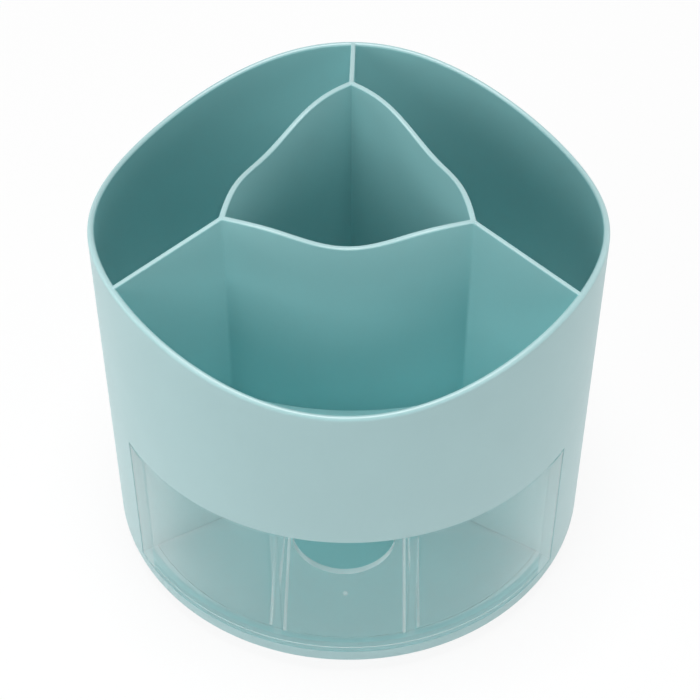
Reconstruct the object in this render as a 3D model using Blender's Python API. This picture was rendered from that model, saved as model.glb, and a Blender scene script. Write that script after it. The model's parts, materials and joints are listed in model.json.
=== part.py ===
"""Rotating make-up organizer: a round container with a clear drawer, turning on a ball-bearing stand.

Metres, +Z up. The origin is on the desk, under the middle of the stand, and the drawer faces -Y.
Angles are counted from +X, so the front of the organizer is at 270 degrees.
"""
import math

import bmesh
import bpy

# Container: three compartments round an inner cup, held as seven solids that meet with JOIN_GAP.
# Heights of the container and the drawer are counted from the container's lower edge.
OUTER_RADIUS = 0.0680
OUTER_WALL = 0.0018
RIM_PEAK_HEIGHT = 0.1092
RIM_WAVE_DEPTH = 0.0092
CUP_CORNER_RADIUS = 0.0362
CUP_SIDE_BOW = 0.0062
CUP_WALL = 0.0015
CUP_CORNER_HEIGHT = 0.11935
CUP_RIM_CREST = 0.00125
CUP_RIM_DIP = 0.0041
DIVIDER_WALL = 0.0013
DIVIDER_DROP = 0.0003
FLOOR_THICKNESS = 0.0018
REAR_FLOOR_HEIGHT = 0.0120
WINDOW_TOP_HEIGHT = 0.0526
WINDOW_HEADER = 0.0011
LIP_HEIGHT = 0.0041
WINDOW_REVEAL = 0.0002
LEDGE_WIDTH = 0.0028
LEDGE_THICKNESS = 0.0010
JOIN_GAP = 0.0001

# Bottom plate, screwed into the bosses under the rear floor
PLATE_THICKNESS = 0.0024
SEAT_GAP = 0.0003
BOSS_RADIUS = 0.0032
BOSS_INSET = 0.0074
BOSS_ROOF = 0.0005
SCREW_SHANK_RADIUS = 0.0012
SCREW_PILOT_CLEARANCE = 0.00015
SCREW_HEAD_RADIUS = 0.0026
SCREW_HEAD_HEIGHT = 0.0015
SCREW_HEAD_SINK = 0.0010
SCREW_TIP_GAP = 0.0003
RECESS_DEPTH = 0.0008
RECESS_LENGTH = 0.0030
RECESS_WIDTH = 0.0007

# Ball bearing and stand
TURN_GAP = 0.0034
BALL_RADIUS = 0.0025
BALL_CLEARANCE = 0.00015
BALL_CIRCLE_INSET = 0.0240
CAGE_WIDTH = 0.0100
CAGE_THICKNESS = 0.0014
CAGE_POCKET_CLEARANCE = 0.0003
STAND_INSET = 0.0120
STAND_THICKNESS = 0.0026
STAND_EDGE_ROUND = 0.0008
HUB_GAP = 0.0006
HUB_WEB = 0.0016
HUB_WALL = 0.0018
HUB_SLOPE = 0.0020
SPIGOT_RADIUS = 0.0040
SPIGOT_CLEARANCE = 0.0003
SPIGOT_END_PLAY = 0.0002
PIVOT_BOSS_RISE = 0.0045
PIVOT_BOSS_ROOF = 0.0010
WASHER_RADIUS = 0.0065
WASHER_THICKNESS = 0.0008
WASHER_HOLE_CLEARANCE = 0.0003
WASHER_SIDE_CLEARANCE = 0.0010
PIVOT_HEAD_RADIUS = 0.0032
FOOT_INSET = 0.0065
FOOT_RADIUS = 0.0040
FOOT_PROUD = 0.0009
FOOT_SINK = 0.0008
FOOT_CLEARANCE = 0.0002
FOOT_EDGE_ROUND = 0.0003

# Drawer: one clear moulding with a finger notch and two partitions
DRAWER_SIDE_CLEARANCE = 0.0005
DRAWER_SLIDE_GAP = 0.0003
DRAWER_TOP_GAP = 0.0005
DRAWER_WALL = 0.0017
DRAWER_FLOOR = 0.0018
DRAWER_FILLET = 0.0010
DRAWER_CORNER_ROUND = 0.0004
PARTITION_SPACING = 0.0368
PARTITION_WALL = 0.0018
NOTCH_RADIUS = 0.0132
STOP_SPACING = 0.0200
STOP_WIDTH = 0.0050
STOP_DEPTH = 0.0015
STOP_HOOK = 0.0005
STOP_FRONT_GAP = 0.0010

# Extra length of every cut past the faces that it opens
OVERRUN = 0.0020
# Points nearer than this are one point
WELD = 0.000001

# Counts, shares and angles
WALL_SEGMENTS = 96
TURNED_SEGMENTS = 60
SMALL_SEGMENTS = 12
CUP_SIDE_STEPS = 14
DRAWER_FRONT_STEPS = 32
GROOVE_STEPS = 5
FILLET_STEPS = 2
BALL_SEGMENTS = 12
BALL_RINGS = 8
BALL_COUNT = 12
FOOT_COUNT = 4
LOBES = 3
NOTCH_SEGMENTS = 36
WASHER_SEGMENTS = 24
CUP_RIM_POWER = 3.25
CROWN_SHARE = 1 / 3
BACK_ANGLE = math.radians(90)
LEFT_ANGLE = math.radians(210)
RIGHT_ANGLE = math.radians(330)
FRONT_ANGLE = math.radians(270)
SCREW_ANGLES = [math.radians(angle) for angle in (-15, 25, 65, 115, 155, 195)]
FOOT_START_ANGLE = math.radians(45)
SHARP_ANGLE = math.radians(35)
FILLET_ANGLE = math.radians(20)

# Places worked out from the sizes above, in the container's own heights
INNER_RADIUS = OUTER_RADIUS - OUTER_WALL
MIDDLE_RADIUS = OUTER_RADIUS - OUTER_WALL / 2
LEDGE_RADIUS = INNER_RADIUS - LEDGE_WIDTH
LEDGE_BOTTOM = LIP_HEIGHT - LEDGE_THICKNESS
PLATE_BOTTOM = LIP_HEIGHT - PLATE_THICKNESS
BAY_FOOT = LIP_HEIGHT + SEAT_GAP
REAR_FLOOR_BOTTOM = REAR_FLOOR_HEIGHT - FLOOR_THICKNESS
FRONT_FLOOR_BOTTOM = WINDOW_TOP_HEIGHT + WINDOW_HEADER
FRONT_FLOOR_HEIGHT = FRONT_FLOOR_BOTTOM + FLOOR_THICKNESS
BOSS_CIRCLE_RADIUS = INNER_RADIUS - BOSS_INSET
BALL_CIRCLE_RADIUS = OUTER_RADIUS - BALL_CIRCLE_INSET
STAND_RADIUS = OUTER_RADIUS - STAND_INSET
FOOT_CIRCLE_RADIUS = STAND_RADIUS - FOOT_INSET
BALL_HEIGHT = PLATE_BOTTOM - TURN_GAP / 2
GROOVE_RADIUS = BALL_RADIUS + BALL_CLEARANCE
STAND_TOP = PLATE_BOTTOM - TURN_GAP
STAND_BOTTOM = STAND_TOP - STAND_THICKNESS
HUB_TOP = PLATE_BOTTOM - HUB_GAP
HUB_WEB_BOTTOM = HUB_TOP - HUB_WEB
SPIGOT_END = HUB_WEB_BOTTOM - SPIGOT_END_PLAY
WASHER_TOP = SPIGOT_END - SEAT_GAP
WASHER_BOTTOM = WASHER_TOP - WASHER_THICKNESS
PIVOT_HEAD_TOP = WASHER_BOTTOM - SEAT_GAP
PIVOT_HOLE_TOP = LIP_HEIGHT + PIVOT_BOSS_RISE - PIVOT_BOSS_ROOF
PILOT_RADIUS = SCREW_SHANK_RADIUS + SCREW_PILOT_CLEARANCE
PILOT_TOP = REAR_FLOOR_BOTTOM - BOSS_ROOF
SCREW_SEAT = PLATE_BOTTOM + SCREW_HEAD_SINK
DRAWER_BOTTOM = LIP_HEIGHT + DRAWER_SLIDE_GAP
DRAWER_TOP = WINDOW_TOP_HEIGHT - DRAWER_TOP_GAP
DRAWER_FLOOR_TOP = DRAWER_BOTTOM + DRAWER_FLOOR
DRAWER_SIDE_OFFSET = DIVIDER_WALL / 2 + DRAWER_SIDE_CLEARANCE
STOP_BOTTOM = DRAWER_TOP - STOP_HOOK

# The container's lower edge stands this high above the desk
CONTAINER_HEIGHT = FOOT_PROUD - STAND_BOTTOM

# Colours as linear red, green, blue and alpha
TEAL = (0.36, 0.62, 0.63, 1.0)
CLEAR = (0.86, 0.92, 0.92, 0.35)
NATURAL = (0.80, 0.79, 0.74, 1.0)
STEEL = (0.62, 0.62, 0.64, 1.0)
RUBBER = (0.10, 0.11, 0.11, 1.0)


def remove_scene_objects():
    for old in list(bpy.data.objects):
        bpy.data.objects.remove(old)


def make_material(name, colour, roughness, metallic=0.0, transmission=0.0):
    material = bpy.data.materials.new(name)
    material.use_nodes = True
    material.diffuse_color = colour
    shader = material.node_tree.nodes["Principled BSDF"]
    shader.inputs["Base Color"].default_value = colour
    shader.inputs["Roughness"].default_value = roughness
    shader.inputs["Metallic"].default_value = metallic
    shader.inputs["Transmission Weight"].default_value = transmission
    return material


def make_empty(name, height):
    empty = bpy.data.objects.new(name, None)
    empty.location.z = height
    bpy.context.scene.collection.objects.link(empty)
    return empty


def finish_mesh(name, shape):
    """Turn a bmesh into a mesh with its faces pointing out and round faces shaded smooth."""
    bmesh.ops.remove_doubles(shape, verts=shape.verts, dist=WELD)
    bmesh.ops.recalc_face_normals(shape, faces=shape.faces)
    mesh = bpy.data.meshes.new(name)
    shape.to_mesh(mesh)
    shape.free()
    mesh.shade_smooth()
    mesh.set_sharp_from_angle(angle=SHARP_ANGLE)
    return mesh


def place(name, mesh, parent, material):
    piece = bpy.data.objects.new(name, mesh)
    piece.parent = parent
    if not mesh.materials:
        mesh.materials.append(material)
    bpy.context.scene.collection.objects.link(piece)
    return piece


def helper(name, mesh, parent):
    """A shape that only cuts or joins another one."""
    guide = bpy.data.objects.new(name, mesh)
    guide.parent = parent
    guide.hide_render = True
    guide.display_type = "WIRE"
    bpy.context.scene.collection.objects.link(guide)
    return guide


def combine(piece, other, operation):
    modifier = piece.modifiers.new(other.name, "BOOLEAN")
    modifier.operation = operation
    modifier.object = other
    modifier.solver = "EXACT"


def join(piece, name, mesh):
    combine(piece, helper(name, mesh, piece.parent), "UNION")


def cut(piece, name, mesh):
    combine(piece, helper(name, mesh, piece.parent), "DIFFERENCE")


def settle(piece):
    """Apply the piece's cuts and joins, remove the shapes that made them, and shade it again."""
    bpy.context.view_layer.update()
    graph = bpy.context.evaluated_depsgraph_get()
    mesh = bpy.data.meshes.new_from_object(piece.evaluated_get(graph))
    tools = [modifier.object for modifier in piece.modifiers if modifier.type == "BOOLEAN"]
    piece.modifiers.clear()
    for tool in tools:
        bpy.data.objects.remove(tool)
    mesh.name = piece.name
    mesh.shade_smooth()
    mesh.set_sharp_from_angle(angle=SHARP_ANGLE)
    piece.data = mesh
    return mesh


def on_circle(radius, angle):
    return (radius * math.cos(angle), radius * math.sin(angle))


def turned_mesh(name, profile, segments, closed):
    """Turn (radius, height) points round +Z. An open profile starts and ends on the axis."""
    shape = bmesh.new()
    rings = []
    for radius, height in profile:
        if radius == 0:
            rings.append([shape.verts.new((0, 0, height))] * segments)
            continue
        ring = []
        for step in range(segments):
            x, y = on_circle(radius, math.tau * step / segments)
            ring.append(shape.verts.new((x, y, height)))
        rings.append(ring)
    pairs = list(zip(rings, rings[1:]))
    if closed:
        pairs.append((rings[-1], rings[0]))
    for lower, upper in pairs:
        for step in range(segments):
            after = (step + 1) % segments
            corners = [lower[step], lower[after], upper[after], upper[step]]
            shape.faces.new(list(dict.fromkeys(corners)))
    return finish_mesh(name, shape)


def prism_mesh(name, outline, bottom, top):
    """A solid with a level bottom and top over an outline of (x, y) points."""
    shape = bmesh.new()
    low = [shape.verts.new((x, y, bottom)) for x, y in outline]
    high = [shape.verts.new((x, y, top)) for x, y in outline]
    shape.faces.new(low)
    shape.faces.new(high)
    for step in range(len(outline)):
        after = (step + 1) % len(outline)
        shape.faces.new([low[step], low[after], high[after], high[step]])
    return finish_mesh(name, shape)


def rod_mesh(name, radius, bottom, top, segments=SMALL_SEGMENTS):
    outline = [on_circle(radius, math.tau * (step + 1 / 2) / segments) for step in range(segments)]
    return prism_mesh(name, outline, bottom, top)


def box_outline(low_x, high_x, low_y, high_y):
    return [(low_x, low_y), (high_x, low_y), (high_x, high_y), (low_x, high_y)]


def moved_mesh(mesh, x, y):
    for vertex in mesh.vertices:
        vertex.co.x += x
        vertex.co.y += y
    return mesh


def lay_along_y(mesh, height):
    """Turn an upright mesh to lie along Y, with its middle line at this height."""
    for vertex in mesh.vertices:
        x, y, z = vertex.co
        vertex.co = (x, z, height - y)


def wall_mesh(name, inner, outer, bottom, tops):
    """A closed wall between two loops of (x, y) points, whose upper edge follows tops."""
    shape = bmesh.new()
    rows = []
    for loop, heights in ((inner, None), (inner, tops), (outer, tops), (outer, None)):
        row = []
        for step, (x, y) in enumerate(loop):
            height = bottom if heights is None else heights[step]
            row.append(shape.verts.new((x, y, height)))
        rows.append(row)
    for first, second in zip(rows, rows[1:] + rows[:1]):
        for step in range(len(inner)):
            after = (step + 1) % len(inner)
            shape.faces.new([first[step], first[after], second[after], second[step]])
    return finish_mesh(name, shape)


def rim_height(angle):
    """The rim is highest at the three dividers and lowest half way between them."""
    wave = (1 - math.cos(LOBES * (angle - BACK_ANGLE))) / 2
    return RIM_PEAK_HEIGHT - RIM_WAVE_DEPTH * wave


def cup_arc_radius():
    chord = 2 * CUP_CORNER_RADIUS * math.sin(math.pi / LOBES)
    return (chord * chord / 4 + CUP_SIDE_BOW * CUP_SIDE_BOW) / (2 * CUP_SIDE_BOW)


def cup_arc_centre():
    """How far behind the middle the centre of each bowed side lies."""
    return cup_arc_radius() - CUP_CORNER_RADIUS * math.cos(math.pi / LOBES) - CUP_SIDE_BOW


def cup_reach(offset, aside):
    """Distance of the cup's sides from the axis along a line that lies aside of a divider's middle."""
    radius = cup_arc_radius() + offset
    back = cup_arc_centre()
    across = back * math.sin(math.pi / LOBES) + aside
    return math.sqrt(radius * radius - across * across) - back * math.cos(math.pi / LOBES)


def cup_side(side_angle, offset, steps):
    """Points of one bowed side, from one corner to the next, and their shares of the way."""
    radius = cup_arc_radius() + offset
    back = cup_arc_centre()
    half = math.asin(cup_reach(offset, 0) * math.sin(math.pi / LOBES) / radius)
    points = []
    for step in range(steps + 1):
        share = step / steps
        x, y = on_circle(radius, side_angle + half * (2 * share - 1))
        centre_x, centre_y = on_circle(-back, side_angle)
        points.append((x + centre_x, y + centre_y, share))
    return points


def cup_loop(offset):
    """The cup's outline moved out by offset, with a sharp corner at each divider."""
    loop = []
    for side in range(LOBES):
        side_angle = BACK_ANGLE + (side + 1 / 2) * math.tau / LOBES
        loop += cup_side(side_angle, offset, CUP_SIDE_STEPS)[:-1]
    return loop


def cup_rim_height(share):
    """Height of the cup's rim, which rises a little beside each corner and dips in mid-side."""
    across = math.sin(math.pi * share)
    crest = CUP_RIM_CREST * across * math.cos(math.pi * share) ** 2
    return CUP_CORNER_HEIGHT + crest - CUP_RIM_DIP * across ** CUP_RIM_POWER


def along_divider(angle, distance, offset):
    """A point at this distance along a divider, moved towards the front by offset."""
    toward = -1 if math.cos(angle) > 0 else 1
    x = distance * math.cos(angle) - toward * offset * math.sin(angle)
    y = distance * math.sin(angle) + toward * offset * math.cos(angle)
    return (x, y)


def front_arc(radius, offset, steps):
    """Points on a circle from the left divider to the right one, each end offset from it."""
    spread = (RIGHT_ANGLE - LEFT_ANGLE) / 2 - math.asin(offset / radius)
    arc = []
    for step in range(steps + 1):
        arc.append(on_circle(radius, FRONT_ANGLE + spread * (2 * step / steps - 1)))
    return arc


def front_cup_line(offset):
    """The cup's front wall, moved out by offset, from its right corner to its left one."""
    return [(x, y) for x, y, share in reversed(cup_side(FRONT_ANGLE, offset, CUP_SIDE_STEPS))]


def make_outer_wall(axis, teal):
    """Round wall with the wavy rim, the drawer's window, and the ledge over the bottom plate's edge."""
    angles = [math.tau * step / WALL_SEGMENTS for step in range(WALL_SEGMENTS)]
    inner = [on_circle(INNER_RADIUS, angle) for angle in angles]
    outer = [on_circle(OUTER_RADIUS, angle) for angle in angles]
    tops = [rim_height(angle) for angle in angles]
    wall = place("outer_wall", wall_mesh("outer_wall", inner, outer, 0, tops), axis, teal)
    window = front_arc(OUTER_RADIUS + OVERRUN, DIVIDER_WALL / 2 + WINDOW_REVEAL, DRAWER_FRONT_STEPS)
    cut(wall, "window", prism_mesh("window", window + [(0, 0)], LIP_HEIGHT, WINDOW_TOP_HEIGHT))
    ledge = [(LEDGE_RADIUS, LEDGE_BOTTOM), (MIDDLE_RADIUS, LEDGE_BOTTOM),
             (MIDDLE_RADIUS, LIP_HEIGHT), (LEDGE_RADIUS, LIP_HEIGHT)]
    join(wall, "lip_ledge", turned_mesh("lip_ledge", ledge, WALL_SEGMENTS, True))
    settle(wall)


def make_rear_floor(axis, teal):
    """Floor of the cup and of the two rear compartments, with the screw bosses under it."""
    radius = INNER_RADIUS - JOIN_GAP
    aside = DIVIDER_WALL / 2 + JOIN_GAP
    clear = CUP_WALL / 2 + JOIN_GAP
    start = LEFT_ANGLE - math.asin(aside / radius)
    turn = RIGHT_ANGLE - math.tau - LEFT_ANGLE + 2 * math.asin(aside / radius)
    steps = round(WALL_SEGMENTS * -turn / math.tau)
    outline = [on_circle(radius, start + turn * step / steps) for step in range(steps + 1)]
    outline.append(along_divider(RIGHT_ANGLE, cup_reach(-clear, 0), -aside))
    outline += front_cup_line(-clear)
    outline.append(along_divider(LEFT_ANGLE, cup_reach(-clear, 0), -aside))
    mesh = prism_mesh("rear_floor", outline, REAR_FLOOR_BOTTOM, REAR_FLOOR_HEIGHT)
    floor = place("rear_floor", mesh, axis, teal)
    middle = REAR_FLOOR_HEIGHT - FLOOR_THICKNESS / 2
    for number, angle in enumerate(SCREW_ANGLES, 1):
        x, y = on_circle(BOSS_CIRCLE_RADIUS, angle)
        name = "boss_%d" % number
        join(floor, name, moved_mesh(rod_mesh(name, BOSS_RADIUS, BAY_FOOT, middle), x, y))
        name = "pilot_%d" % number
        cut(floor, name, moved_mesh(rod_mesh(name, PILOT_RADIUS, 0, PILOT_TOP), x, y))
    settle(floor)


def make_dividers(axis, teal):
    """Three upright walls from the cup's corners to the outer wall, falling towards the rim."""
    half = DIVIDER_WALL / 2
    clear = CUP_WALL / 2 + JOIN_GAP
    for name, angle, foot in (("back", BACK_ANGLE, REAR_FLOOR_HEIGHT + JOIN_GAP),
                              ("left", LEFT_ANGLE, BAY_FOOT), ("right", RIGHT_ANGLE, BAY_FOOT)):
        outline = []
        for distance, offset in ((cup_reach(clear, 0), 0), (cup_reach(clear, half), half),
                                 (INNER_RADIUS - JOIN_GAP, half), (INNER_RADIUS - JOIN_GAP, -half),
                                 (cup_reach(clear, half), -half)):
            outline.append(along_divider(angle, distance, offset))
        mesh = prism_mesh("divider_" + name, outline, foot, RIM_PEAK_HEIGHT)
        fall = (CUP_CORNER_HEIGHT - RIM_PEAK_HEIGHT) / (MIDDLE_RADIUS - CUP_CORNER_RADIUS)
        for vertex in mesh.vertices:
            if vertex.co.z > foot:
                distance = vertex.co.x * math.cos(angle) + vertex.co.y * math.sin(angle)
                vertex.co.z += fall * (MIDDLE_RADIUS - distance) - DIVIDER_DROP
        place("divider_" + name, mesh, axis, teal)


def make_inner_cup(axis, teal):
    """Three-sided cup on the rear floor, whose front side goes on down behind the drawer."""
    inner = cup_loop(-CUP_WALL / 2)
    outer = cup_loop(CUP_WALL / 2)
    tops = [cup_rim_height(share) for x, y, share in inner]
    mesh = wall_mesh("inner_cup", [(x, y) for x, y, share in inner], [(x, y) for x, y, share in outer],
                     REAR_FLOOR_HEIGHT + JOIN_GAP, tops)
    cup = place("inner_cup", mesh, axis, teal)
    outline = front_cup_line(-CUP_WALL / 2) + list(reversed(front_cup_line(CUP_WALL / 2)))
    join(cup, "bay_back", prism_mesh("bay_back", outline, BAY_FOOT, REAR_FLOOR_HEIGHT + FLOOR_THICKNESS))
    settle(cup)


def make_front_floor(axis, teal):
    """The front compartment's floor, which is also the roof of the drawer's bay, and two stops."""
    aside = DIVIDER_WALL / 2 + JOIN_GAP
    clear = CUP_WALL / 2 + JOIN_GAP
    outline = front_arc(INNER_RADIUS - JOIN_GAP, aside, DRAWER_FRONT_STEPS)
    outline.append(along_divider(RIGHT_ANGLE, cup_reach(clear, aside), aside))
    outline += front_cup_line(clear)[1:-1]
    outline.append(along_divider(LEFT_ANGLE, cup_reach(clear, aside), aside))
    mesh = prism_mesh("front_floor", outline, FRONT_FLOOR_BOTTOM, FRONT_FLOOR_HEIGHT)
    floor = place("front_floor", mesh, axis, teal)
    for side in (-1, 1):
        middle = side * STOP_SPACING / 2
        low_x, high_x = middle - STOP_WIDTH / 2, middle + STOP_WIDTH / 2
        low_y, high_y = stop_front(), stop_front() + STOP_DEPTH
        name = "stop_left" if side < 0 else "stop_right"
        outline = box_outline(low_x, high_x, low_y, high_y)
        top = FRONT_FLOOR_BOTTOM + FLOOR_THICKNESS / 2
        join(floor, name, prism_mesh(name, outline, STOP_BOTTOM, top))
    settle(floor)


def stop_front():
    """Front face of the two drawer stops, just behind the drawer's front panel."""
    reach = STOP_SPACING / 2 + STOP_WIDTH / 2
    panel = math.sqrt((OUTER_RADIUS - DRAWER_WALL) ** 2 - reach * reach)
    return STOP_FRONT_GAP - panel


def make_bottom_plate(axis, teal):
    """Round plate with the upper ball track, the pivot spigot and the screw holes."""
    edge = INNER_RADIUS - SEAT_GAP
    step = LEDGE_RADIUS - SEAT_GAP
    boss_top = LIP_HEIGHT + PIVOT_BOSS_RISE
    profile = [(0, boss_top), (SPIGOT_RADIUS, boss_top), (SPIGOT_RADIUS, LIP_HEIGHT),
               (step, LIP_HEIGHT), (step, LEDGE_BOTTOM - SEAT_GAP), (edge, LEDGE_BOTTOM - SEAT_GAP),
               (edge, PLATE_BOTTOM)]
    profile += groove_points(PLATE_BOTTOM)
    profile += [(SPIGOT_RADIUS, PLATE_BOTTOM), (SPIGOT_RADIUS, SPIGOT_END),
                (PILOT_RADIUS, SPIGOT_END), (PILOT_RADIUS, PIVOT_HOLE_TOP), (0, PIVOT_HOLE_TOP)]
    mesh = turned_mesh("bottom_plate", profile, TURNED_SEGMENTS, False)
    plate = place("bottom_plate", mesh, axis, teal)
    for number, angle in enumerate(SCREW_ANGLES, 1):
        x, y = on_circle(BOSS_CIRCLE_RADIUS, angle)
        hole = SCREW_SHANK_RADIUS + SEAT_GAP
        sink = SCREW_HEAD_RADIUS + SEAT_GAP
        top = LIP_HEIGHT + OVERRUN
        name = "screw_hole_%d" % number
        cut(plate, name, moved_mesh(rod_mesh(name, hole, PLATE_BOTTOM - OVERRUN, top), x, y))
        name = "head_recess_%d" % number
        cut(plate, name, moved_mesh(rod_mesh(name, sink, PLATE_BOTTOM - OVERRUN, SCREW_SEAT), x, y))
    settle(plate)


def groove_points(face):
    """Ball track cut into a level face, listed from its outer edge to its inner edge."""
    rise = face - BALL_HEIGHT
    start = math.asin(rise / GROOVE_RADIUS)
    end = math.pi - start if rise > 0 else -math.pi - start
    points = []
    for step in range(GROOVE_STEPS + 1):
        x, z = on_circle(GROOVE_RADIUS, start + (end - start) * step / GROOVE_STEPS)
        points.append((BALL_CIRCLE_RADIUS + x, BALL_HEIGHT + z))
    return points


def make_stand(axis, teal, rubber):
    """Round stand with the lower ball track, a raised hub and a foot under each corner."""
    hub_hole = SPIGOT_RADIUS + SPIGOT_CLEARANCE
    recess = WASHER_RADIUS + WASHER_SIDE_CLEARANCE
    hub = recess + HUB_WALL
    track = groove_points(STAND_TOP)
    profile = [(hub_hole, HUB_TOP), (hub, HUB_TOP), (hub + HUB_SLOPE, STAND_TOP)]
    profile += list(reversed(track))
    profile += [(STAND_RADIUS - STAND_EDGE_ROUND, STAND_TOP),
                (STAND_RADIUS, STAND_TOP - STAND_EDGE_ROUND), (STAND_RADIUS, STAND_BOTTOM),
                (recess, STAND_BOTTOM), (recess, HUB_WEB_BOTTOM), (hub_hole, HUB_WEB_BOTTOM)]
    stand = place("stand_disc", turned_mesh("stand_disc", profile, TURNED_SEGMENTS, True), axis, teal)
    foot_bottom = STAND_BOTTOM - FOOT_PROUD
    pocket_top = STAND_BOTTOM + FOOT_SINK
    foot_profile = [(0, foot_bottom), (FOOT_RADIUS - FOOT_EDGE_ROUND, foot_bottom),
                    (FOOT_RADIUS, foot_bottom + FOOT_EDGE_ROUND),
                    (FOOT_RADIUS, pocket_top - FOOT_CLEARANCE), (0, pocket_top - FOOT_CLEARANCE)]
    foot_mesh = turned_mesh("foot", foot_profile, SMALL_SEGMENTS, False)
    for number in range(FOOT_COUNT):
        x, y = on_circle(FOOT_CIRCLE_RADIUS, FOOT_START_ANGLE + math.tau * number / FOOT_COUNT)
        name = "foot_pocket_%d" % (number + 1)
        pocket = rod_mesh(name, FOOT_RADIUS + FOOT_CLEARANCE, STAND_BOTTOM - OVERRUN, pocket_top)
        cut(stand, name, moved_mesh(pocket, x, y))
        foot = place("rubber_foot_%d" % (number + 1), foot_mesh, axis, rubber)
        foot.location = (x, y, 0)
    settle(stand)


def make_bearing(axis, natural, steel):
    """Twelve loose balls in a flat cage that keeps them apart."""
    low, high = BALL_HEIGHT - CAGE_THICKNESS / 2, BALL_HEIGHT + CAGE_THICKNESS / 2
    near, far = BALL_CIRCLE_RADIUS - CAGE_WIDTH / 2, BALL_CIRCLE_RADIUS + CAGE_WIDTH / 2
    profile = [(near, low), (far, low), (far, high), (near, high)]
    mesh = turned_mesh("bearing_cage", profile, TURNED_SEGMENTS, True)
    cage = place("bearing_cage", mesh, axis, natural)
    shape = bmesh.new()
    bmesh.ops.create_uvsphere(shape, u_segments=BALL_SEGMENTS, v_segments=BALL_RINGS, radius=BALL_RADIUS)
    ball_mesh = finish_mesh("ball", shape)
    pocket_radius = BALL_RADIUS + CAGE_POCKET_CLEARANCE
    for number in range(BALL_COUNT):
        x, y = on_circle(BALL_CIRCLE_RADIUS, math.tau * number / BALL_COUNT)
        name = "ball_pocket_%d" % (number + 1)
        cut(cage, name, moved_mesh(rod_mesh(name, pocket_radius, low - OVERRUN, high + OVERRUN), x, y))
        ball = place("bearing_ball_%d" % (number + 1), ball_mesh, axis, steel)
        ball.location = (x, y, BALL_HEIGHT)
    settle(cage)


def screw_mesh(name, parent, steel, head_radius, length):
    """A pan-head screw whose head's upper face is at zero, with a cross recess under it."""
    crown = SCREW_HEAD_HEIGHT * CROWN_SHARE
    profile = [(0, -SCREW_HEAD_HEIGHT), (head_radius - crown, -SCREW_HEAD_HEIGHT),
               (head_radius, crown - SCREW_HEAD_HEIGHT), (head_radius, 0), (SCREW_SHANK_RADIUS, 0),
               (SCREW_SHANK_RADIUS, length - SCREW_SHANK_RADIUS), (0, length)]
    screw = place(name, turned_mesh(name, profile, SMALL_SEGMENTS, False), parent, steel)
    bottom = -SCREW_HEAD_HEIGHT - OVERRUN
    top = RECESS_DEPTH - SCREW_HEAD_HEIGHT
    long_half, wide_half = RECESS_LENGTH / 2, RECESS_WIDTH / 2
    cross = [(long_half, -wide_half), (long_half, wide_half), (wide_half, wide_half),
             (wide_half, long_half), (-wide_half, long_half), (-wide_half, wide_half),
             (-long_half, wide_half), (-long_half, -wide_half), (-wide_half, -wide_half),
             (-wide_half, -long_half), (wide_half, -long_half), (wide_half, -wide_half)]
    cut(screw, name + "_cross", prism_mesh(name + "_cross", cross, bottom, top))
    mesh = settle(screw)
    bpy.data.objects.remove(screw)
    return mesh


def make_fasteners(axis, steel):
    """Six plate screws, and the washer and screw that hold the stand on the spigot."""
    head_top = SCREW_SEAT - SEAT_GAP
    length = PILOT_TOP - SCREW_TIP_GAP - head_top
    mesh = screw_mesh("plate_screw", axis, steel, SCREW_HEAD_RADIUS, length)
    for number, angle in enumerate(SCREW_ANGLES, 1):
        x, y = on_circle(BOSS_CIRCLE_RADIUS, angle)
        screw = place("plate_screw_%d" % number, mesh, axis, steel)
        screw.location = (x, y, head_top)
        screw.rotation_euler.z = angle
    hole = SCREW_SHANK_RADIUS + WASHER_HOLE_CLEARANCE
    ring = [(hole, WASHER_BOTTOM), (WASHER_RADIUS, WASHER_BOTTOM), (WASHER_RADIUS, WASHER_TOP),
            (hole, WASHER_TOP)]
    place("pivot_washer", turned_mesh("pivot_washer", ring, WASHER_SEGMENTS, True), axis, steel)
    length = PIVOT_HOLE_TOP - SCREW_TIP_GAP - PIVOT_HEAD_TOP
    mesh = screw_mesh("pivot_screw", axis, steel, PIVOT_HEAD_RADIUS, length)
    screw = place("pivot_screw", mesh, axis, steel)
    screw.location.z = PIVOT_HEAD_TOP


def drawer_back():
    """Back face of the drawer, just in front of the cup's bowed front side."""
    return -(cup_arc_radius() - cup_arc_centre() + CUP_WALL / 2 + DRAWER_SIDE_CLEARANCE)


def drawer_back_corner(side_offset, back):
    """Where the drawer's right side, offset from the divider, meets its straight back."""
    x, y = along_divider(RIGHT_ANGLE, 0, side_offset)
    distance = (back - y) / math.sin(RIGHT_ANGLE)
    return along_divider(RIGHT_ANGLE, distance, side_offset)


def round_edges(piece, width):
    modifier = piece.modifiers.new("round_edges", "BEVEL")
    modifier.width = width
    modifier.segments = FILLET_STEPS
    modifier.limit_method = "ANGLE"
    modifier.angle_limit = FILLET_ANGLE


def drawer_cavity(name, axis, left, right):
    """Inside of one drawer section between two x places, with rounded corners and foot."""
    offset = DRAWER_SIDE_OFFSET + DRAWER_WALL
    radius = OUTER_RADIUS - DRAWER_WALL
    back = drawer_back() - DRAWER_WALL
    corner_x, corner_y = drawer_back_corner(offset, back)
    outline = [(left, back)] if left > -corner_x else [(-corner_x, corner_y)]
    for x, y in front_arc(radius, offset, DRAWER_FRONT_STEPS):
        if left <= x <= right:
            outline.append((x, y))
    if left > -corner_x:
        outline.insert(1, (left, -math.sqrt(radius * radius - left * left)))
    if right < corner_x:
        outline.append((right, -math.sqrt(radius * radius - right * right)))
        outline.append((right, back))
    else:
        outline.append((corner_x, corner_y))
    mesh = prism_mesh(name, outline, DRAWER_FLOOR_TOP, DRAWER_TOP + OVERRUN)
    cavity = helper(name, mesh, axis)
    round_edges(cavity, DRAWER_FILLET)
    return cavity


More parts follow.
